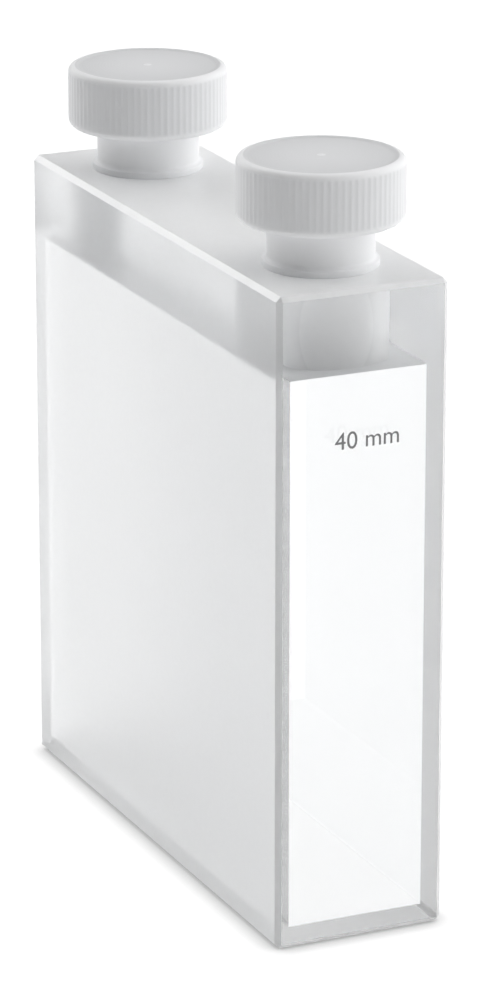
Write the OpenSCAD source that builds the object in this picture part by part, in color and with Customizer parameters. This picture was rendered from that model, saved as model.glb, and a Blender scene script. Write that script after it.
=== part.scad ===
// Macro cuvette: six fused silica plates round a narrow measuring chamber,
// with two filling bores in the top, each closed by a turned plastic stopper.
// X runs across the cell, Y along the light path and Z up.
// The origin is in the middle of the cell's underside.

/* [Cell] */
// Light path, from window to window inside the chamber
light_path = 40; // [30:0.5:100]
// Width of the cell across its side walls
cell_w = 12.5; // [12:0.1:25]
// Height of the cell without its stoppers
cell_h = 46; // [30:0.5:80]

/* [Plates] */
// Thickness of each polished window
window_t = 1.25; // [0.8:0.05:3]
// Thickness of each ground side wall
wall_t = 1.25; // [0.8:0.05:1.6]
// Thickness of the base plate
base_t = 1.25; // [0.8:0.05:4]
// Thickness of the top block
top_t = 6; // [4:0.25:12]
// Bevel on the outer edges of the cell
edge_bevel = 0.35; // [0.1:0.05:0.5]

/* [Filling bores] */
// Diameter of each bore
bore_d = 7.5; // [5:0.1:7.8]
// From each end of the cell to the axis of its bore
bore_inset = 6.75; // [6.5:0.25:8]
// Bevel round the mouth of each bore
mouth_bevel = 0.1; // [0.05:0.05:0.15]

/* [Stopper seat] */
// Radial running clearance of a shank in its bore
shank_clearance = 0.05; // [0.02:0.01:0.1]
// How far each shank stops short of the chamber
shank_short = 0.1; // [0:0.05:2]
// Bevel on the lower end of a shank
shank_bevel = 0.4; // [0.1:0.05:0.8]
// How far the collar reaches past the wall of the bore
collar_reach = 0.2; // [0.18:0.02:0.6]
// Height of the collar's straight side
collar_h = 0.45; // [0.3:0.05:1]
// Height over which the collar tapers into the neck
collar_taper_h = 0.3; // [0.2:0.05:0.8]

/* [Stopper grip] */
// Diameter of the neck below the head
neck_d = 7.3; // [4:0.1:7.8]
// Height of the neck and collar, from the cell to the head
neck_h = 3.1; // [2:0.1:8]
// Diameter of the head over its flutes
head_d = 11.4; // [10.8:0.1:12.4]
// Height of the head
head_h = 4.4; // [3.5:0.1:8]
// Radius of the head's upper edge
crown_r = 0.5; // [0.3:0.05:0.5]
// Radius of the head's lower edge
foot_r = 0.6; // [0.2:0.05:0.8]
// Width of the smooth rim round the recess in the head
rim_w = 0.5; // [0.5:0.05:2]
// Depth of the recess at its edge
recess_depth = 0.1; // [0.06:0.02:0.6]
// How far the recess's floor rises from its edge to its middle
floor_rise = 0.06; // [0.02:0.01:0.3]
// Number of grip flutes round the head
flute_count = 76; // [36:2:90]
// Depth of each flute
flute_depth = 0.07; // [0.05:0.01:0.15]

/* [Hidden] */
$fn = 96;

// The cell is as long as its light path and both windows.
cell_l = light_path + 2 * window_t;
chamber_w = cell_w - 2 * wall_t;
front_y = -cell_l / 2;
bore_y = cell_l / 2 - bore_inset;
top_underside_z = cell_h - top_t;

shank_r = bore_d / 2 - shank_clearance;
shank_l = top_t - shank_short;
collar_r = bore_d / 2 + collar_reach;
neck_r = neck_d / 2;
head_r = head_d / 2;
head_top = neck_h + head_h;

// The recess's floor is a very low dome.
recess_r = head_r - rim_w;
floor_sphere_r = (recess_r * recess_r + floor_rise * floor_rise) / (2 * floor_rise);

// Neighbouring flutes nearly touch, which leaves a fine land between them.
flute_land = 0.05;
flute_w = 2 * PI * head_r / flute_count - flute_land;
flute_r = (flute_w * flute_w / 4 + flute_depth * flute_depth) / (2 * flute_depth);

// How far a cutting solid runs past the solid that it cuts.
over = 1;

// A block that stands on z = 0 over the origin, with every edge bevelled.
module bevelled_block(w, l, h, b) {
    intersection() {
        linear_extrude(height = h) bevelled_rectangle(w, l, b);
        translate([0, l / 2, h / 2]) rotate([90, 0, 0])
            linear_extrude(height = l) bevelled_rectangle(w, h, b);
        translate([-w / 2, 0, h / 2]) rotate([0, 90, 0])
            linear_extrude(height = w) bevelled_rectangle(h, l, b);
    }
}

// A rectangle centred on the origin with its corners cut off.
module bevelled_rectangle(w, l, b) {
    x = w / 2;
    y = l / 2;
    polygon([
        [x - b, -y], [x, b - y], [x, y - b], [x - b, y],
        [b - x, y], [-x, y - b], [-x, b - y], [b - x, -y]
    ]);
}

// The part of the bevelled cell between its low and its high corner.
module cell_slice(low, high) {
    intersection() {
        bevelled_block(cell_w, cell_l, cell_h, edge_bevel);
        translate(low) cube(high - low);
    }
}

// side is -1 for the front window and 1 for the rear one.
module window(side) {
    y = side < 0 ? front_y : -front_y - window_t;
    cell_slice([-cell_w / 2, y, 0], [cell_w / 2, y + window_t, cell_h]);
}

// side is -1 for the left wall and 1 for the right one.
module side_wall(side) {
    x = side < 0 ? -cell_w / 2 : chamber_w / 2;
    cell_slice(
        [x, -light_path / 2, 0],
        [x + wall_t, light_path / 2, cell_h]
    );
}

module base_plate() {
    color([0.93, 0.95, 0.96, 0.5])
        cell_slice(
            [-chamber_w / 2, -light_path / 2, 0],
            [chamber_w / 2, light_path / 2, base_t]
        );
}

// One filling bore with its bevelled mouth, as the solid that cuts it.
module filling_bore() {
    translate([0, 0, -top_t - over])
        cylinder(r = bore_d / 2, h = top_t + 2 * over);
    translate([0, 0, -mouth_bevel])
        cylinder(
            r1 = bore_d / 2,
            r2 = bore_d / 2 + mouth_bevel + over,
            h = mouth_bevel + over
        );
}

module top_block() {
    color([0.90, 0.92, 0.94, 0.5])
        difference() {
            cell_slice(
                [-chamber_w / 2, -light_path / 2, top_underside_z],
                [chamber_w / 2, light_path / 2, cell_h]
            );
            for (y = [-bore_y, bore_y])
                translate([0, y, cell_h]) filling_bore();
        }
}

// Half of a stopper's outline, with the seat at y = 0 and the axis at x = 0.
module stopper_outline() {
    difference() {
        union() {
            polygon([
                [0, -shank_l], [shank_r - shank_bevel, -shank_l],
                [shank_r, shank_bevel - shank_l], [shank_r, over / 2],
                [0, over / 2]
            ]);
            square([collar_r, collar_h]);
            polygon([
                [0, collar_h], [collar_r, collar_h],
                [neck_r, collar_h + collar_taper_h], [neck_r, neck_h + over],
                [0, neck_h + over]
            ]);
            head_outline();
        }
        head_recess();
    }
}

// Half of the recess's outline, as the shape that cuts it.
module head_recess() {
    difference() {
        translate([0, head_top - recess_depth])
            square([recess_r, recess_depth + over]);
        translate([0, head_top - recess_depth + floor_rise - floor_sphere_r])
            circle(r = floor_sphere_r);
    }
}

// Half of the head's outline, with its upper and lower edges rounded.
module head_outline() {
    translate([0, neck_h])
        square([head_r - foot_r, head_h]);
    translate([0, neck_h + foot_r])
        square([head_r, head_h - foot_r - crown_r]);
    translate([0, neck_h + foot_r])
        square([head_r - crown_r, head_h - foot_r]);
    translate([head_r - foot_r, neck_h + foot_r])
        circle(r = foot_r);
    translate([head_r - crown_r, head_top - crown_r])
        circle(r = crown_r);
}

// The flutes fade out where the crown and the foot round away.
module grip_flutes() {
    for (i = [0 : flute_count - 1])
        rotate([0, 0, i * 360 / flute_count])
            translate([head_r - flute_depth + flute_r, 0, neck_h])
                cylinder(r = flute_r, h = head_h, $fn = 32);
}

module stopper() {
    difference() {
        rotate_extrude()
            intersection() {
                stopper_outline();
                translate([0, -shank_l - over])
                    square([head_d, shank_l + head_top + 2 * over]);
            }
        grip_flutes();
    }
}

module front_window() {
    color([0.93, 0.95, 0.96, 0.4]) window(-1);
}

module rear_window() {
    color([0.93, 0.95, 0.96, 0.4]) window(1);
}

module left_wall() {
    color([0.87, 0.88, 0.89, 0.8]) side_wall(-1);
}

module right_wall() {
    color([0.87, 0.88, 0.89, 0.8]) side_wall(1);
}

module front_stopper() {
    color([0.95, 0.95, 0.95])
        translate([0, -bore_y, cell_h]) stopper();
}

module rear_stopper() {
    color([0.95, 0.95, 0.95])
        translate([0, bore_y, cell_h]) stopper();
}

front_window();
rear_window();
left_wall();
right_wall();
base_plate();
top_block();
front_stopper();
rear_stopper();
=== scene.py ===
"""Finish and stage of a macro cuvette with two fluted plug stoppers."""

import math

import bmesh
import bpy
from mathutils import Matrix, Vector


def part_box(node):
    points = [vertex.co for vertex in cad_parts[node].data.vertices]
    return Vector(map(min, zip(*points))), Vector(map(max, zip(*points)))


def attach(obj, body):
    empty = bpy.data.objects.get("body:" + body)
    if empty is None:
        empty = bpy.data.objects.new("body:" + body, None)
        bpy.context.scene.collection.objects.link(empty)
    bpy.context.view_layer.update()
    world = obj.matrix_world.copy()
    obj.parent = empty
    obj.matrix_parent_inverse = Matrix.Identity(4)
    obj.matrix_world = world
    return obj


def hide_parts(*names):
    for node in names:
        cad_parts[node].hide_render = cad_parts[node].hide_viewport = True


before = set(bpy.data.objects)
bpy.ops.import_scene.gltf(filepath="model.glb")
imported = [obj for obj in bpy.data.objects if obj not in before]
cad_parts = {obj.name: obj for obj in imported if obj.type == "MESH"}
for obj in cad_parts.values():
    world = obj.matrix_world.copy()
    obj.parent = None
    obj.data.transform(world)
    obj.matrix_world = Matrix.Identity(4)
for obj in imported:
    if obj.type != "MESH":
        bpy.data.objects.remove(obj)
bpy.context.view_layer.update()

bl_info = {
    "name": "Macro Cuvette",
    "version": (1, 0, 0),
    "blender": (4, 5, 0),
    "location": "View3D > Sidebar > Cuvette",
    "description": "Builds a fused silica cuvette with two plug stoppers and its stage",
    "category": "Add Mesh",
}

MM = 0.001
X, Y, Z = range(3)
# Signs of the corners of a square, in order round it.
SQUARE = ((-1, -1), (1, -1), (1, 1), (-1, 1))

PLATES = (
    "front_window", "rear_window", "left_wall", "right_wall", "base_plate", "top_block",
)
STOPPERS = ("front_stopper", "rear_stopper")


def extent(node, axis):
    """Size of a CAD node along one axis."""
    low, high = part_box(node)
    return high[axis] - low[axis]


def middle(node, axis):
    """Middle of a CAD node along one axis."""
    low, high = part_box(node)
    return (high[axis] + low[axis]) / 2


def length(name, description, default):
    """A size in metres, as a property."""
    return bpy.props.FloatProperty(
        name=name, description=description, default=default, min=0.0,
        precision=5, unit="LENGTH", subtype="DISTANCE",
    )


def colour(name, description, default):
    """A linear colour, as a property."""
    return bpy.props.FloatVectorProperty(
        name=name, description=description, default=default, min=0.0, max=1.0,
        size=3, subtype="COLOR",
    )


def fraction(name, description, default, high=1.0):
    """A plain number from 0 to high, as a property."""
    return bpy.props.FloatProperty(
        name=name, description=description, default=default, min=0.0, max=high,
        subtype="FACTOR",
    )


def angle(name, description, degrees):
    """An angle given in degrees, as a property."""
    return bpy.props.FloatProperty(
        name=name, description=description, default=math.radians(degrees), subtype="ANGLE",
    )


# ---------------------------------------------------------------- settings


class CuvetteCellSettings(bpy.types.PropertyGroup):
    """Sizes and surfaces of the fused silica cell, with painted light and shade in the colours of its ground
    faces.
    """

    half_w: length("Half width", "From the middle of the cell to a side", extent("front_window", X) / 2)
    half_l: length(
        "Half length", "From the middle of the cell to a window's face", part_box("rear_window")[1][Y]
    )
    height: length("Height", "Height of the cell without its stoppers", extent("front_window", Z))
    window_t: length("Window", "Thickness of each window", extent("front_window", Y))
    wall_t: length("Wall", "Thickness of each side wall", extent("left_wall", X))
    base_t: length("Base", "Thickness of the base plate", extent("base_plate", Z))
    top_t: length("Top block", "Thickness of the top block", extent("top_block", Z))
    bevel: length("Edge bevel", "Width of the bevel on every outer edge", 0.35 * MM)
    bore_r: length("Bore radius", "Radius of each filling bore", 3.75 * MM)
    bore_y: length("Bore place", "From the middle of the cell to a bore's axis", middle("rear_stopper", Y))
    mouth_bevel: length("Mouth bevel", "Bevel round each bore's mouth", 0.1 * MM)
    tint: colour("Silica tint", "Colour of light passed by the silica", (0.994, 0.997, 0.998))
    # Painted light and shade: the ground faces are one ground silica in three colours; this one for the sides
    # and the bores, a darker one for the lower bevels and the front uprights, and a lighter one for the top,
    # the underside and the other bevels.
    ground: colour("Ground silica", "Colour of the finely ground faces", (0.902, 0.909, 0.917))
    ground_roughness: fraction("Ground roughness", "Roughness of the finely ground faces", 0.42)
    ground_passed: fraction("Ground passes", "Share of light a ground face passes as a blur", 0.75)
    bevel_passed: fraction("Bevel passes", "Share of light a bevel passes as a blur", 0.45)
    edge_passed: fraction("Top edge passes", "Share of light a bevel round the top passes", 0.35)
    under_passed: fraction("Underside passes", "Share of light the underside passes", 1.0)
    top_passed: fraction("Top passes", "Share of light the top face passes as a blur", 0.25)
    # Painted shade: a darker colour of the same ground silica.
    bevel_painted_shade: colour("Arris", "Colour of the lower bevels and the front upright ones", (0.86, 0.865, 0.87))
    # Painted light: a lighter colour of the same ground silica.
    clear: colour(
        "Fine ground silica", "Colour of the top, the underside and the other bevels", (0.990, 0.993, 0.996)
    )
    ground_glow: fraction("Ground glow", "Share of light a ground face scatters right through", 0.07)
    top_glow: fraction("Top glow", "Share of light the top face scatters right through", 0.10)
    edge_glow: fraction("Top edge glow", "Share of light a bevel round the top scatters right through", 0.35)
    bore_passed: fraction("Bore passes", "Share of light a bore's ground wall passes", 0.09)
    sheen_roughness: fraction("Sheen roughness", "Roughness of the sheen on the bevels round the top", 0.15)
    sheen_ior: fraction("Sheen index", "Refractive index that sets the strength of that sheen", 2.3, 4.0)


class CuvetteStopperSettings(bpy.types.PropertyGroup):
    """Sizes and surfaces of the turned stoppers, with painted shade and a painted highlight in the plastic's
    tone.
    """

    shank_r: length("Shank radius", "Radius of the plug in its bore", 3.70 * MM)
    shank_bevel: length("Shank bevel", "Bevel on the plug's lower end", 0.4 * MM)
    collar_r: length("Collar radius", "Radius of the collar that rests on the cell", 3.95 * MM)
    collar_h: length("Collar height", "Height of the collar's straight side", 0.45 * MM)
    taper_h: length("Collar taper", "Height over which the collar runs into the neck", 0.3 * MM)
    collar_round: length("Collar rounding", "Rounding of the collar's lower edge", 0.06 * MM)
    neck_r: length("Neck radius", "Radius of the neck below the head", 3.65 * MM)
    neck_fillet: length("Neck fillet", "Fillet where the neck meets the head", 0.25 * MM)
    head_h: length("Head height", "Height of the head", 4.4 * MM)
    crown_r: length("Crown radius", "Rounding of the head's upper edge", 0.5 * MM)
    foot_r: length("Foot radius", "Rounding of the head's lower edge", 0.6 * MM)
    rim_w: length("Rim", "Width of the smooth rim round the head's recess", 0.5 * MM)
    recess_depth: length("Recess depth", "Depth of the recess at its edge", 0.10 * MM)
    recess_slope: length("Recess slope", "Width of the slope round the recess's floor", 0.35 * MM)
    floor_rise: length("Floor rise", "Rise of the recess's floor to its middle", 0.06 * MM)
    pip_r: length("Pip radius", "Radius of the turned pip in the middle", 0.32 * MM)
    flutes: bpy.props.IntProperty(
        name="Flutes", description="Grip flutes round the head", default=76, min=12
    )
    flute_depth: length("Flute depth", "Depth of each flute", 0.022 * MM)
    flute_land: length("Land", "Width left between neighbouring flutes", 0.10 * MM)
    white: colour("Plastic", "Colour of the white plastic", (0.935, 0.942, 0.956))
    # Painted shade: the fluted side is darkened as if shaded in its grooves.
    fluted_painted_shade: fraction("Fluted tone", "Brightness of the matt fluted side beside the smooth parts", 0.90)
    # Painted shade: the faced recess is darkened, more towards its edge, leaving its pip bright as a painted
    # highlight.
    recess_painted_shade: fraction("Faced tone", "Brightness of the faced recess beside the smooth parts", 0.75)
    recess_shade_rise: fraction("Faced rise", "Gain in that brightness from the recess's edge to its middle", 0.10)


class CuvetteMarkSettings(bpy.types.PropertyGroup):
    """The light path marked on the front window."""

    text: bpy.props.StringProperty(name="Mark", description="Light path as marked", default="40 mm")
    cap_height: length("Figure height", "Height of the figures", 1.25 * MM)
    below_top: length("Below the top", "From the cell's top down to the foot of the figures", 10.9 * MM)
    aside: length("Aside", "From the window's middle line to the middle of the figures", 0.3 * MM)
    thickness: length("Ink", "Thickness of the fired mark", 0.01 * MM)
    ink: colour("Ink colour", "Colour of the fired mark", (0.21, 0.21, 0.215))


class CuvetteStageSettings(bpy.types.PropertyGroup):
    """Floor, light and camera."""

    azimuth: angle("Azimuth", "Direction of the camera round the cell", -24.42)
    elevation: angle("Elevation", "Angle of the camera above the horizon", 18.09)
    distance: length("Distance", "From the camera to the point it looks at", 345.1 * MM)
    aim: bpy.props.FloatVectorProperty(
        name="Aim", description="Point that the camera looks at", precision=5, unit="LENGTH",
        default=(0.50 * MM, -0.77 * MM, 25.24 * MM), size=3, subtype="TRANSLATION",
    )
    lens: bpy.props.FloatProperty(
        name="Lens", description="Focal length in millimetres", default=176.2, unit="CAMERA"
    )
    room_light: fraction("Room light", "Even light from the whole studio", 0.09, 4.0)
    shown_light: fraction(
        "Light seen through", "Even light that the ground glass shows from beyond it", 0.12, 4.0
    )
    floor_glow: fraction("Floor glow", "Light the floor shows of its own", 0.97, 4.0)
    floor_seen: fraction("Floor seen", "Share of light the floor returns to the camera", 0.16)
    floor_lit: fraction("Floor lit", "Share of light the floor returns to the object", 0.9)
    floor_mirrored: fraction("Floor mirrored", "Share of light the floor returns where glass shows it", 0.5)
    floor_half: length("Floor", "From the middle of the floor to its edge", 1.5)
    floor_drop: length("Floor drop", "Depth of the floor under the cell", 0.05 * MM)
    contact_reach: length("Contact shadow", "Reach of the floor's darkening beside the cell", 1.5 * MM)
    contact_tone: fraction("Contact tone", "Share of light left on the floor where the cell touches it", 0.26)


# --------------------------------------------------------------- materials

SILICA_IOR = 1.458
# Darkest speckle of a ground face, beside its full colour.
SPECKLE_TONE = 1 - 0.05


def new_material(name):
    """An empty node material with its output, as (material, nodes, links)."""
    material = bpy.data.materials.new(name)
    material.use_nodes = True
    nodes = material.node_tree.nodes
    nodes.clear()
    nodes.new("ShaderNodeOutputMaterial").name = "Output"
    return material, nodes, material.node_tree.links


def principled(nodes, links, **values):
    """A Principled shader joined to the output, with its plain values set."""
    shader = nodes.new("ShaderNodeBsdfPrincipled")
    for name, value in values.items():
        shader.inputs[name.replace("_", " ")].default_value = value
    links.new(shader.outputs["BSDF"], nodes["Output"].inputs["Surface"])
    return shader


def add_noise(nodes, links, scale, detail=2.0):
    """Noise in the piece's own space."""
    place = nodes.new("ShaderNodeTexCoord")
    noise = nodes.new("ShaderNodeTexNoise")
    noise.inputs["Scale"].default_value = scale
    noise.inputs["Detail"].default_value = detail
    links.new(place.outputs["Object"], noise.inputs["Vector"])
    return noise


def add_bump(nodes, links, height, strength, depth):
    """Fine relief from a height between 0 and 1, of a given depth in metres."""
    bump = nodes.new("ShaderNodeBump")
    bump.inputs["Strength"].default_value = strength
    bump.inputs["Distance"].default_value = depth
    links.new(height, bump.inputs["Height"])
    return bump


def add_grain(nodes, links, shader, scale, strength, depth):
    """Relief from noise on a shader."""
    noise = add_noise(nodes, links, scale)
    bump = add_bump(nodes, links, noise.outputs["Fac"], strength, depth)
    links.new(bump.outputs["Normal"], shader.inputs["Normal"])


def add_colour(nodes, links, shader, factor, low, high):
    """A base colour that runs from low to high with a factor."""
    blend = nodes.new("ShaderNodeMix")
    blend.data_type = "RGBA"
    blend.inputs["A"].default_value = (*low, 1.0)
    blend.inputs["B"].default_value = (*high, 1.0)
    links.new(factor, blend.inputs["Factor"])
    links.new(blend.outputs["Result"], shader.inputs["Base Color"])


def mix_shaders(nodes, links, factor, first, second):
    """The output of a mix of two shaders, by a plain or a linked factor."""
    mix = nodes.new("ShaderNodeMixShader")
    if isinstance(factor, float):
        mix.inputs["Fac"].default_value = factor
    else:
        links.new(factor, mix.inputs["Fac"])
    links.new(first, mix.inputs[1])
    links.new(second, mix.inputs[2])
    return mix.outputs["Shader"]


def combine(nodes, links, operation, first, second):
    """The output of a sum, product or maximum of two values."""
    node = nodes.new("ShaderNodeMath")
    node.operation = operation
    links.new(first, node.inputs[0])
    links.new(second, node.inputs[1])
    return node.outputs["Value"]


def polished_silica(cell):
    """Optically polished silica, with the faintest waviness."""
    material, nodes, links = new_material("polished_silica")
    shader = principled(
        nodes, links, Base_Color=(*cell.tint, 1.0), Roughness=0.0, IOR=SILICA_IOR,
        Transmission_Weight=1.0,
    )
    add_grain(nodes, links, shader, scale=160.0, strength=0.05, depth=0.002 * MM)
    return material


def ground_silica(cell, name, base, passed, glow=0.0, sheen=0.0):
    """Finely ground silica: part scatters white, part passes as a soft blur."""
    material, nodes, links = new_material(name)
    shader = principled(
        nodes, links, Roughness=cell.ground_roughness, IOR=SILICA_IOR,
        Transmission_Weight=passed, Coat_Weight=sheen,
        Coat_Roughness=cell.sheen_roughness, Coat_IOR=cell.sheen_ior,
    )
    speckle = add_noise(nodes, links, scale=2600.0)
    darker = [share * SPECKLE_TONE for share in base]
    add_colour(nodes, links, shader, speckle.outputs["Fac"], darker, base)
    if glow:
        across = nodes.new("ShaderNodeBsdfTranslucent")
        across.inputs["Color"].default_value = (*base, 1.0)
        mixed = mix_shaders(nodes, links, glow, shader.outputs["BSDF"], across.outputs["BSDF"])
        links.new(mixed, nodes["Output"].inputs["Surface"])
    return material


def turned_plastic(stoppers, name, axis_y):
    """White plastic with faint rings from the lathe about the stopper's axis."""
    material, nodes, links = new_material(name)
    shader = principled(
        nodes, links, Roughness=0.42, IOR=1.38,
        Subsurface_Weight=0.35, Subsurface_Scale=0.6 * MM, Subsurface_Radius=(1.0, 1.0, 1.0),
    )
    # The tone attribute darkens the white plastic: painted shade on the fluted side and in the faced recess,
    # while the pip stays bright as a painted highlight.
    painted_tone = nodes.new("ShaderNodeAttribute")
    painted_tone.attribute_name = "tone"
    add_colour(nodes, links, shader, painted_tone.outputs["Fac"], (0.0, 0.0, 0.0), stoppers.white)
    place = nodes.new("ShaderNodeTexCoord")
    shift = nodes.new("ShaderNodeMapping")
    shift.inputs["Location"].default_value = (0.0, -axis_y, 0.0)
    rings = nodes.new("ShaderNodeTexWave")
    rings.wave_type = "RINGS"
    rings.rings_direction = "Z"
    rings.inputs["Scale"].default_value = 1400.0
    rings.inputs["Distortion"].default_value = 1.5
    rings.inputs["Detail"].default_value = 3.0
    links.new(place.outputs["Object"], shift.inputs["Vector"])
    links.new(shift.outputs["Vector"], rings.inputs["Vector"])
    grit = add_noise(nodes, links, scale=1500.0, detail=4.0)
    turned = add_bump(nodes, links, rings.outputs["Fac"], strength=0.25, depth=0.01 * MM)
    gritty = add_bump(nodes, links, grit.outputs["Fac"], strength=0.3, depth=0.02 * MM)
    links.new(turned.outputs["Normal"], gritty.inputs["Normal"])
    links.new(gritty.outputs["Normal"], shader.inputs["Normal"])
    return material


def fired_ink(mark):
    """Matt grey mark fired onto the window."""
    material, nodes, links = new_material("fired_ink")
    shader = principled(nodes, links, Base_Color=(*mark.ink, 1.0), Roughness=0.6)
    add_grain(nodes, links, shader, scale=12000.0, strength=0.2, depth=0.004 * MM)
    return material


# ---------------------------------------------------------------- geometry


def finish_mesh(bm, name, materials):
    """An object in the scene from a bmesh, which is freed."""
    mesh = bpy.data.meshes.new(name)
    bm.to_mesh(mesh)
    bm.free()
    for material in materials:
        mesh.materials.append(material)
    piece = bpy.data.objects.new(name, mesh)
    bpy.context.scene.collection.objects.link(piece)
    return piece


def ring(bm, radius, z, y, count):
    """A ring of vertices about a vertical axis at x = 0."""
    step = 2 * math.pi / count
    return [
        bm.verts.new((radius * math.cos(i * step), y + radius * math.sin(i * step), z))
        for i in range(count)
    ]


def band(bm, lower, upper, slot, smooth):
    """Quads between two rings of the same count, facing inwards to the axis."""
    count = len(lower)
    for i in range(count):
        j = (i + 1) % count
        face = bm.faces.new((lower[i], upper[i], upper[j], lower[j]))
        face.material_index = slot
        face.smooth = smooth


def loop_edges(bm, verts):
    """The edges round a closed loop of vertices, made where they are missing."""
    edges = []
    for a, b in zip(verts, verts[1:] + verts[:1]):
        edges.append(bm.edges.get((a, b)) or bm.edges.new((a, b)))
    return edges


def holed_face(bm, outline, rings, up, slot):
    """A flat level face inside an outline, with round holes left open."""
    edges = loop_edges(bm, outline)
    for hole in rings:
        edges += loop_edges(bm, hole)
    made = bmesh.ops.triangle_fill(bm, edges=edges, use_beauty=True, normal=(0, 0, up))
    for face in made["geom"]:
        if isinstance(face, bmesh.types.BMFace):
            face.normal_update()
            if face.normal.z * up < 0:
                face.normal_flip()
            face.material_index = slot


# Material slots of the cell, in the order of its finishes.
POLISHED, GROUND, BEVELLED, EDGE, BORED, UNDERSIDE, TOP = range(7)
BORE_SEGMENTS = 128


def outer_corner(bm, cell, relief, sx, sy, sz):
    """The three vertices of one bevelled outer corner, on its X, Y and Z faces.

    The front face stands back by the relief, which leaves room for the mark on it.
    """
    x = cell.half_w
    y = cell.half_l - (relief if sy < 0 else 0.0)
    z = cell.height if sz > 0 else 0.0
    c = cell.bevel
    return (
        bm.verts.new((sx * x, sy * (y - c), z - sz * c)),
        bm.verts.new((sx * (x - c), sy * y, z - sz * c)),
        bm.verts.new((sx * (x - c), sy * (y - c), z)),
    )


def build_glass(cell, relief):
    """The fused cell as one closed mesh: bevelled outside, chamber and bores."""
    bm = bmesh.new()
    corner = {
        (sx, sy, sz): outer_corner(bm, cell, relief, sx, sy, sz)
        for sx in (-1, 1) for sy in (-1, 1) for sz in (-1, 1)
    }

    def face(verts, slot):
        """A flat face in one of the cell's material slots."""
        made = bm.faces.new(verts)
        made.material_index = slot

    def bevel(first, second, sides, slot):
        """A bevel between two corners, from the face on one side to that on the other."""
        one, other = sides
        face([corner[first][one], corner[second][one], corner[second][other], corner[first][other]], slot)

    for s in (-1, 1):
        face([corner[s, a, b][X] for a, b in SQUARE], GROUND)
        face([corner[a, s, b][Y] for a, b in SQUARE], POLISHED)
        for t in (-1, 1):
            # The upright bevels at the rear and all of those round the top are brighter, from their sheen and
            # glow and from painted light in their lighter colour; the other bevels carry painted shade in a
            # darker one.
            slot = EDGE if t > 0 else BEVELLED
            bevel((s, t, -1), (s, t, 1), (X, Y), slot)
            bevel((s, -1, t), (s, 1, t), (X, Z), slot)
            bevel((-1, s, t), (1, s, t), (Y, Z), slot)
    for verts in corner.values():
        face(verts, BEVELLED)
    face([corner[a, b, -1][Z] for a, b in SQUARE], UNDERSIDE)

    # Chamber: four walls and a floor, then its ceiling with both bores.
    x = cell.half_w - cell.wall_t
    y = cell.half_l - cell.window_t
    ceiling = cell.height - cell.top_t
    low = [bm.verts.new((a * x, b * y, cell.base_t)) for a, b in SQUARE]
    high = [bm.verts.new((a * x, b * y, ceiling)) for a, b in SQUARE]
    for i in range(4):
        j = (i + 1) % 4
        face([low[i], low[j], high[j], high[i]], POLISHED)
    face(low, POLISHED)

    throat_top = cell.height - cell.mouth_bevel
    mouth_r = cell.bore_r + cell.mouth_bevel
    ends = []
    mouths = []
    for centre in (-cell.bore_y, cell.bore_y):
        end = ring(bm, cell.bore_r, ceiling, centre, BORE_SEGMENTS)
        throat = ring(bm, cell.bore_r, throat_top, centre, BORE_SEGMENTS)
        mouth = ring(bm, mouth_r, cell.height, centre, BORE_SEGMENTS)
        band(bm, end, throat, BORED, True)
        band(bm, throat, mouth, BEVELLED, False)
        ends.append(end)
        mouths.append(mouth)
    holed_face(bm, high, ends, -1, BORED)
    holed_face(bm, [corner[a, b, 1][Z] for a, b in SQUARE], mouths, 1, TOP)
    bmesh.ops.recalc_face_normals(bm, faces=bm.faces)
    return bm


# Steps round the head for each flute.
FLUTE_STEPS = 12
# Edges between faces that meet at more than this angle stay crisp, in degrees.
CRISP_ANGLE = 50


def arc(middle_r, middle_z, radius, start, end, count):
    """Points (radius, height) along an arc, with angles in degrees from outwards."""
    points = []
    for i in range(count + 1):
        a = math.radians(start + (end - start) * i / count)
        points.append((middle_r + radius * math.cos(a), middle_z + radius * math.sin(a)))
    return points


def shank_and_collar(s, foot, seat):
    """Outline from the lower end up to the neck's foot."""
    points = [(0.0, foot), (s.shank_r - s.shank_bevel, foot), (s.shank_r, foot + s.shank_bevel)]
    points += [(s.shank_r, foot + (seat - foot) * t) for t in (0.3, 0.6, 0.95, 1.0)]
    edge = s.collar_round
    shoulder_r = s.collar_r - edge * 2
    top = seat + s.collar_h
    points += arc(s.collar_r - edge, seat + edge, edge, -90, 0, 4)
    points += arc(shoulder_r, top - edge, edge * 2, 0, 40, 4)
    # The collar runs into the neck along a soft concave sweep.
    for i in range(1, 9):
        t = i / 8
        points.append((s.neck_r + (shoulder_r - s.neck_r) * (1 - t) ** 2, top + s.taper_h * t))
    return points


def neck_and_head(s, neck_foot, neck_top, head_r, top):
    """Outline from the neck's foot up to the head's smooth rim."""
    fillet = s.neck_fillet
    straight = neck_top - fillet - neck_foot
    points = [(s.neck_r, neck_foot + straight * t) for t in (0.5, 1.0)]
    points += arc(s.neck_r + fillet, neck_top - fillet, fillet, 180, 90, 5)[1:]
    low = neck_top + s.foot_r
    high = top - s.crown_r
    points += arc(head_r - s.foot_r, low, s.foot_r, -90, 0, 12)
    points += [(head_r, low + (high - low) * i / 6) for i in range(1, 6)]
    points += arc(head_r - s.crown_r, high, s.crown_r, 0, 84, 14)
    return points


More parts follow.
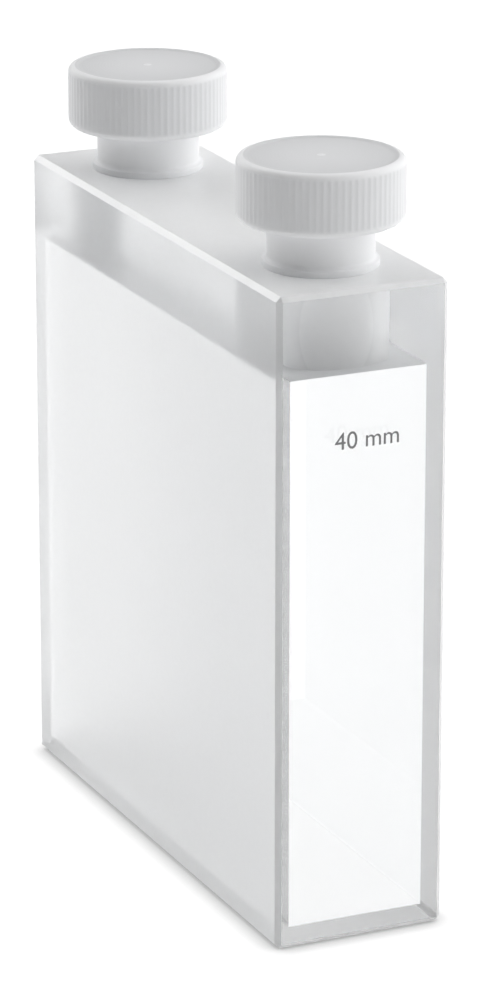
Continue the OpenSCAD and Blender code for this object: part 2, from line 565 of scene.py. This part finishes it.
def recess(s, edge_r, top):
    """Outline of the recess in the head, from its edge to its middle."""
    floor_r = edge_r - s.recess_slope
    floor = top - s.recess_depth
    points = []
    for i in range(1, 9):
        t = i / 8
        drop = t * t * (3 - 2 * t)
        points.append((edge_r - s.recess_slope * t, top - s.recess_depth * drop))
    # The floor rises a little towards the middle.
    for i in range(1, 18):
        t = 1 - i / 18
        if floor_r * t < s.pip_r * 2:
            break
        points.append((floor_r * t, floor + s.floor_rise * (1 - t ** 3)))
    # A small pip is left in the middle where the tool stopped.
    middle_z = floor + s.floor_rise
    for i in range(6):
        t = i / 5
        points.append((s.pip_r * (1 - t), middle_z + (top - middle_z) * t ** 1.6))
    return points


def stopper_outline(s, seat, foot, top, head_r):
    """Outline of a stopper from its lower end up to the recess's middle."""
    neck_foot = seat + s.collar_h + s.taper_h
    neck_top = top - s.head_h
    points = shank_and_collar(s, foot, seat)
    points += neck_and_head(s, neck_foot, neck_top, head_r, top)
    points += recess(s, head_r - s.rim_w, top)
    return points


def painted_shade_tone(s, r, z, head_r, neck_top, top):
    """Painted brightness of the plastic at a point of the outline: full on the smooth parts and the pip,
    painted shade on the fluted side and in the faced recess.
    """
    edge_r = head_r - s.rim_w
    in_recess = z > top - s.crown_r and r < edge_r - 0.01 * MM
    on_pip = r < s.pip_r * 0.9
    # Painted shade in the faced recess, darker towards its edge; the pip is left at full brightness as a
    # painted highlight.
    if in_recess and not on_pip:
        return s.recess_painted_shade + s.recess_shade_rise * (1.0 - (r / edge_r) ** 2)
    if r < head_r - s.flute_depth * 2:
        return 1.0
    # The painted shade of the fluted side fades out halfway round the head's rounded edges.
    foot_half = s.foot_r * 0.5
    crown_half = s.crown_r * 0.5
    above = (z - neck_top - foot_half) / foot_half
    below = (top - crown_half - z) / crown_half
    groove_shade = max(0.0, min(1.0, above, below))
    return 1.0 - (1.0 - s.fluted_painted_shade) * groove_shade


def flute_bottoms(s, head_r):
    """Radius of the fluted side at each step across one flute."""
    pitch = 2 * math.pi * head_r / s.flutes
    half = (pitch - s.flute_land) / 2
    flute_r = (half ** 2 + s.flute_depth ** 2) / (2 * s.flute_depth)
    bottoms = []
    for i in range(FLUTE_STEPS):
        off = abs(i / FLUTE_STEPS - 0.5) * pitch
        cut = math.sqrt(max(flute_r ** 2 - off ** 2, 0.0)) - flute_r + s.flute_depth
        bottoms.append(head_r - max(cut, 0.0))
    return bottoms


def build_stopper(s, node, axis_y, seat):
    """One stopper turned from its outline, with the flutes cut round its head."""
    low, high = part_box(node)
    foot, top = low[Z], high[Z]
    head_r = extent(node, X) / 2
    neck_top = top - s.head_h
    bottoms = flute_bottoms(s, head_r)
    count = s.flutes * FLUTE_STEPS
    step = 2 * math.pi / count
    bm = bmesh.new()
    # Each vertex keeps a brightness for the plastic: painted shade on the fluted side and in the recess, full
    # elsewhere.
    tone = bm.verts.layers.float.new("tone")
    rows = []
    for r, z in stopper_outline(s, seat, foot, top, head_r):
        if r < 1e-9:
            # The outline meets the axis in a single point.
            tip = bm.verts.new((0.0, axis_y, z))
            tip[tone] = 1.0
            rows.append([tip])
            continue
        row = []
        for i in range(count):
            a = i * step
            here = min(r, bottoms[i % FLUTE_STEPS]) if z > neck_top else r
            vert = bm.verts.new((here * math.cos(a), axis_y + here * math.sin(a), z))
            vert[tone] = painted_shade_tone(s, r, z, head_r, neck_top, top)
            row.append(vert)
        rows.append(row)
    for lower, upper in zip(rows, rows[1:]):
        for i in range(count):
            j = (i + 1) % count
            if len(lower) == 1:
                bm.faces.new((lower[0], upper[j], upper[i]))
            elif len(upper) == 1:
                bm.faces.new((lower[i], lower[j], upper[0]))
            else:
                bm.faces.new((lower[i], lower[j], upper[j], upper[i]))
    for face in bm.faces:
        face.smooth = True
    bmesh.ops.recalc_face_normals(bm, faces=bm.faces)
    return bm


# --------------------------------------------------------------- operators


class CUVETTE_OT_glass(bpy.types.Operator):
    """Builds the fused silica cell in place of its six plates"""

    bl_idname = "cuvette.glass"
    bl_label = "Build the Cell"

    def execute(self, context):
        cell = context.scene.cuvette_cell
        bm = build_glass(cell, context.scene.cuvette_mark.thickness)
        # Painted light and shade: the ground slots share one ground silica, lighter on the top, the underside
        # and the edges round the top and rear, darker on the sides, the bores and the other bevels.
        finishes = [
            polished_silica(cell),
            ground_silica(cell, "ground_silica", cell.ground, cell.ground_passed, cell.ground_glow),
            ground_silica(cell, "bevelled_silica", cell.bevel_painted_shade, cell.bevel_passed),
            ground_silica(cell, "edge_silica", cell.clear, cell.edge_passed, cell.edge_glow, sheen=1.0),
            ground_silica(cell, "bored_silica", cell.ground, cell.bore_passed),
            ground_silica(cell, "underside_silica", cell.clear, cell.under_passed),
            ground_silica(cell, "top_silica", cell.clear, cell.top_passed, cell.top_glow),
        ]
        piece = finish_mesh(bm, "cell_glass", finishes)
        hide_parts(*PLATES)
        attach(piece, "cell")
        return {"FINISHED"}


class CUVETTE_OT_stoppers(bpy.types.Operator):
    """Turns both stoppers and cuts the flutes round their heads"""

    bl_idname = "cuvette.stoppers"
    bl_label = "Build the Stoppers"

    def execute(self, context):
        s = context.scene.cuvette_stopper
        seat = context.scene.cuvette_cell.height
        for node in STOPPERS:
            axis_y = middle(node, Y)
            bm = build_stopper(s, node, axis_y, seat)
            piece = finish_mesh(bm, node + "_turned", [turned_plastic(s, node + "_plastic", axis_y)])
            piece.data.set_sharp_from_angle(angle=math.radians(CRISP_ANGLE))
            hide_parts(node)
            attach(piece, node)
        return {"FINISHED"}


# Height of a figure in the built-in font, beside the font's size.
FIGURE_SHARE = 0.73


class CUVETTE_OT_mark(bpy.types.Operator):
    """Writes the light path on the front window"""

    bl_idname = "cuvette.mark"
    bl_label = "Mark the Light Path"

    def execute(self, context):
        mark = context.scene.cuvette_mark
        cell = context.scene.cuvette_cell
        curve = bpy.data.curves.new("path_mark_curve", "FONT")
        curve.body = mark.text
        curve.align_x = "CENTER"
        curve.size = mark.cap_height / FIGURE_SHARE
        curve.extrude = mark.thickness / 2
        text = bpy.data.objects.new("path_mark_curve", curve)
        context.scene.collection.objects.link(text)
        context.view_layer.update()
        mesh = bpy.data.meshes.new_from_object(text.evaluated_get(context.evaluated_depsgraph_get()))
        bpy.data.objects.remove(text)
        bpy.data.curves.remove(curve)
        foot = cell.height - mark.below_top
        face_y = -cell.half_l + mark.thickness / 2
        for vert in mesh.vertices:
            x, y, z = vert.co
            vert.co = (x + mark.aside, face_y - z, foot + y)
        mesh.name = "path_mark"
        mesh.materials.clear()
        mesh.materials.append(fired_ink(mark))
        piece = bpy.data.objects.new("path_mark", mesh)
        context.scene.collection.objects.link(piece)
        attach(piece, "cell")
        return {"FINISHED"}


def add_diffuse(nodes, tone):
    """The output of a diffuse grey shader."""
    shader = nodes.new("ShaderNodeBsdfDiffuse")
    shader.inputs["Color"].default_value = (tone, tone, tone, 1.0)
    return shader.outputs["BSDF"]


def add_shaders(nodes, links, first, second):
    """The output of the sum of two shaders."""
    both = nodes.new("ShaderNodeAddShader")
    links.new(first, both.inputs[0])
    links.new(second, both.inputs[1])
    return both.outputs["Shader"]


def floor_material(stage):
    """A white floor with a tight soft shadow where the cell stands.

    The camera sees its glow with that shadow, the glass shows plain white, and
    the other rays meet a diffuse floor.
    """
    material, nodes, links = new_material("floor_white")
    path = nodes.new("ShaderNodeLightPath")
    near = nodes.new("ShaderNodeAmbientOcclusion")
    near.samples = 8
    near.inputs["Distance"].default_value = stage.contact_reach
    shaded = nodes.new("ShaderNodeMapRange")
    shaded.inputs["To Min"].default_value = stage.contact_tone
    links.new(near.outputs["AO"], shaded.inputs["Value"])
    glow = nodes.new("ShaderNodeEmission")
    glow.inputs["Strength"].default_value = stage.floor_glow
    links.new(shaded.outputs["Result"], glow.inputs["Color"])
    white = nodes.new("ShaderNodeEmission")
    seen = add_shaders(nodes, links, add_diffuse(nodes, stage.floor_seen), glow.outputs["Emission"])
    mirrored = add_shaders(
        nodes, links, add_diffuse(nodes, stage.floor_mirrored), white.outputs["Emission"]
    )
    lit = add_diffuse(nodes, stage.floor_lit)
    direct = mix_shaders(nodes, links, path.outputs["Is Camera Ray"], lit, seen)
    by_glass = combine(
        nodes, links, "MAXIMUM", path.outputs["Is Glossy Ray"], path.outputs["Is Transmission Ray"]
    )
    shown = mix_shaders(nodes, links, by_glass, direct, mirrored)
    links.new(shown, nodes["Output"].inputs["Surface"])
    material.cycles.emission_sampling = "NONE"
    return material


def make_floor(stage):
    """A wide floor just under the cell."""
    half = stage.floor_half
    bm = bmesh.new()
    bm.faces.new([bm.verts.new((a * half, b * half, -stage.floor_drop)) for a, b in SQUARE])
    floor = finish_mesh(bm, "floor", [floor_material(stage)])


# Soft lights as (direction, cosine at the rim, cosine at full strength, radiance).
# The room lights fall on the object; the shown lights are what its ground glass passes.
ROOM_LIGHTS = (
    ((0.95, -0.30, 0.10), 0.35, 0.90, 2.15),
    ((-0.31, 0.87, 0.39), 0.88, 0.97, 2.50),
    ((0.00, 0.30, 0.95), 0.45, 0.95, 1.15),
)
SHOWN_LIGHTS = (
    ((0.87, 0.47, -0.22), -0.75, 0.30, 0.66),
    ((0.98, -0.10, 0.14), 0.55, 0.92, 1.90),
    ((-0.31, 0.87, 0.39), 0.80, 0.95, 1.60),
    ((0.55, -0.80, 0.25), 0.55, 0.95, 0.30),
    ((-0.15, 0.65, 0.75), 0.50, 0.95, 0.32),
)


def soft_sky(nodes, links, place, lights, base):
    """Strength of an even studio with soft lights in it, by direction."""
    total = None
    for direction, rim, full, radiance in lights:
        facing = nodes.new("ShaderNodeVectorMath")
        facing.operation = "DOT_PRODUCT"
        facing.inputs[1].default_value = Vector(direction).normalized()
        links.new(place.outputs["Generated"], facing.inputs[0])
        # The even light comes in with the first of the soft lights.
        even = base if total is None else 0.0
        span = nodes.new("ShaderNodeMapRange")
        span.interpolation_type = "SMOOTHSTEP"
        span.inputs["From Min"].default_value = rim
        span.inputs["From Max"].default_value = full
        span.inputs["To Min"].default_value = even
        span.inputs["To Max"].default_value = radiance + even
        links.new(facing.outputs["Value"], span.inputs["Value"])
        strength = span.outputs["Result"]
        total = strength if total is None else combine(nodes, links, "ADD", total, strength)
    return total


def make_studio_light(stage):
    """An even studio with soft lights; clear glass shows its white beyond."""
    world = bpy.data.worlds.new("studio")
    world.use_nodes = True
    nodes, links = world.node_tree.nodes, world.node_tree.links
    nodes.clear()
    place = nodes.new("ShaderNodeTexCoord")
    path = nodes.new("ShaderNodeLightPath")
    transmitted = path.outputs["Is Transmission Ray"]
    strength = nodes.new("ShaderNodeMix")
    links.new(transmitted, strength.inputs["Factor"])
    links.new(soft_sky(nodes, links, place, ROOM_LIGHTS, stage.room_light), strength.inputs["A"])
    links.new(soft_sky(nodes, links, place, SHOWN_LIGHTS, stage.shown_light), strength.inputs["B"])
    lit = nodes.new("ShaderNodeBackground")
    links.new(strength.outputs["Result"], lit.inputs["Strength"])
    white = nodes.new("ShaderNodeBackground")
    white.inputs["Color"].default_value = (1.0, 1.0, 1.0, 1.0)
    clear = combine(nodes, links, "MULTIPLY", path.outputs["Is Singular Ray"], transmitted)
    beyond = combine(nodes, links, "MAXIMUM", path.outputs["Is Camera Ray"], clear)
    shown = mix_shaders(
        nodes, links, beyond, lit.outputs["Background"], white.outputs["Background"]
    )
    out = nodes.new("ShaderNodeOutputWorld")
    links.new(shown, out.inputs["Surface"])
    world.cycles.sampling_method = "NONE"
    bpy.context.scene.world = world


def make_camera(stage):
    """A long lens that looks down on the front window and the left side."""
    data = bpy.data.cameras.new("camera")
    data.lens = stage.lens
    data.sensor_width = 36.0
    data.clip_start = 0.01
    camera = bpy.data.objects.new("camera", data)
    bpy.context.scene.collection.objects.link(camera)
    a, e = stage.azimuth, stage.elevation
    back = Vector((math.sin(a) * math.cos(e), -math.cos(a) * math.cos(e), math.sin(e)))
    camera.location = Vector(stage.aim) + back * stage.distance
    camera.rotation_mode = "QUATERNION"
    camera.rotation_quaternion = (-back).to_track_quat("-Z", "Y")
    bpy.context.scene.camera = camera


class CUVETTE_OT_stage(bpy.types.Operator):
    """Makes the floor, the studio light and the camera"""

    bl_idname = "cuvette.stage"
    bl_label = "Set the Stage"

    def execute(self, context):
        stage = context.scene.cuvette_stage
        make_floor(stage)
        make_studio_light(stage)
        make_camera(stage)
        scene = context.scene
        scene.view_settings.view_transform = "Standard"
        scene.cycles.max_bounces = 32
        scene.cycles.transmission_bounces = 32
        scene.cycles.glossy_bounces = 16
        scene.cycles.diffuse_bounces = 8
        return {"FINISHED"}


SETTINGS = (
    ("cuvette_cell", CuvetteCellSettings),
    ("cuvette_stopper", CuvetteStopperSettings),
    ("cuvette_mark", CuvetteMarkSettings),
    ("cuvette_stage", CuvetteStageSettings),
)
STEPS = (CUVETTE_OT_glass, CUVETTE_OT_stoppers, CUVETTE_OT_mark, CUVETTE_OT_stage)


class CUVETTE_PT_panel(bpy.types.Panel):
    """Lists the steps and the sizes that they use"""

    bl_idname = "CUVETTE_PT_panel"
    bl_label = "Cuvette"
    bl_space_type = "VIEW_3D"
    bl_region_type = "UI"
    bl_category = "Cuvette"

    def draw(self, context):
        for step in STEPS:
            self.layout.operator(step.bl_idname)
        for group, _ in SETTINGS:
            settings = getattr(context.scene, group)
            box = self.layout.box()
            for name in settings.bl_rna.properties.keys():
                if name not in ("rna_type", "name"):
                    box.prop(settings, name)


CLASSES = tuple(kind for _, kind in SETTINGS) + STEPS + (CUVETTE_PT_panel,)


def register():
    """Adds the settings, the steps and the panel."""
    for kind in CLASSES:
        bpy.utils.register_class(kind)
    for group, kind in SETTINGS:
        setattr(bpy.types.Scene, group, bpy.props.PointerProperty(type=kind))


def unregister():
    """Takes them away again."""
    for group, _ in SETTINGS:
        delattr(bpy.types.Scene, group)
    for kind in reversed(CLASSES):
        bpy.utils.unregister_class(kind)


def main():
    """Builds everything in order."""
    register()
    bpy.ops.cuvette.glass()
    bpy.ops.cuvette.stoppers()
    bpy.ops.cuvette.mark()
    bpy.ops.cuvette.stage()


if __name__ == "__main__":
    main()
